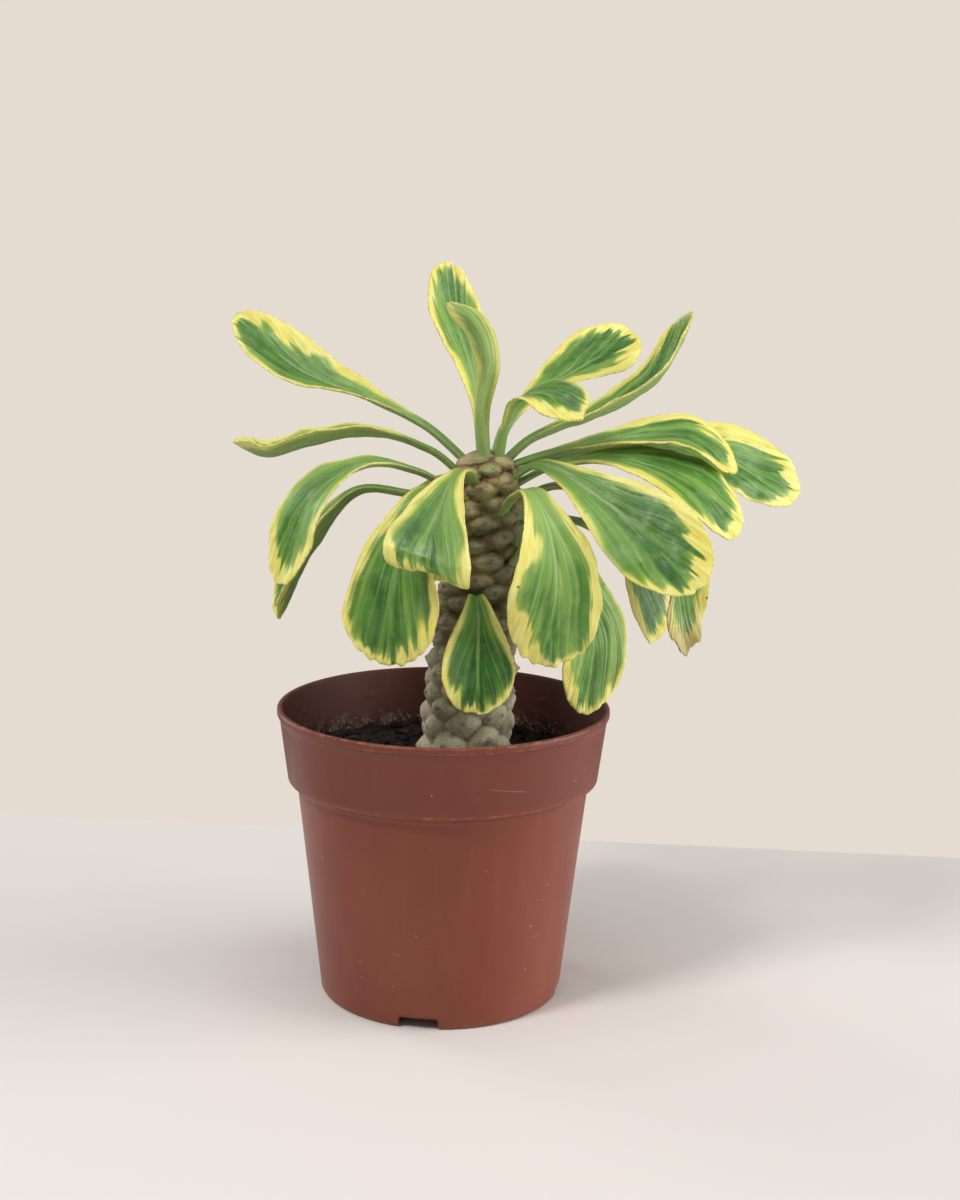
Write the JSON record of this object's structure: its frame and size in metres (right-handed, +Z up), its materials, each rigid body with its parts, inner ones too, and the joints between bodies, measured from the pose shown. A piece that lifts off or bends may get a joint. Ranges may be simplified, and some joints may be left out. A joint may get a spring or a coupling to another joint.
{
  "type": "potted euphorbia",
  "caption": "Variegated spoon-leaved euphorbia on one thick knobbly stem, planted in potting soil in a tapered plastic nursery pot that stands on its foot ring.",
  "frame": {"origin": "bottom centre of the whole object's bounding box, on the surface that it stands on; the pot's axis is 28.3 mm towards -X and 4.1 mm towards -Y of it, because the plant reaches past the pot to the right", "axes": "+Z up, -Y towards the viewer, +X to the viewer's right"},
  "size_m": [0.2288, 0.1454, 0.2861],
  "materials": {
    "pot_plastic": "satin",
    "soil": "matte",
    "stem_bark": "matte",
    "leaf": "satin"
  },
  "bodies": {
    "root": {"pot": "pot_plastic", "soil": "soil", "stem": "stem_bark", "leaf_01": "leaf", "leaf_02": "leaf", "leaf_03": "leaf", "leaf_04": "leaf", "leaf_05": "leaf", "leaf_06": "leaf", "leaf_07": "leaf", "leaf_08": "leaf", "leaf_09": "leaf", "leaf_10": "leaf", "leaf_11": "leaf", "leaf_12": "leaf", "leaf_13": "leaf", "leaf_14": "leaf", "leaf_15": "leaf", "leaf_16": "leaf", "leaf_17": "leaf", "leaf_18": "leaf", "leaf_19": "leaf", "leaf_20": "leaf", "leaf_21": "leaf", "leaf_22": "leaf", "leaf_23": "leaf"}
  },
  "joints": []
}
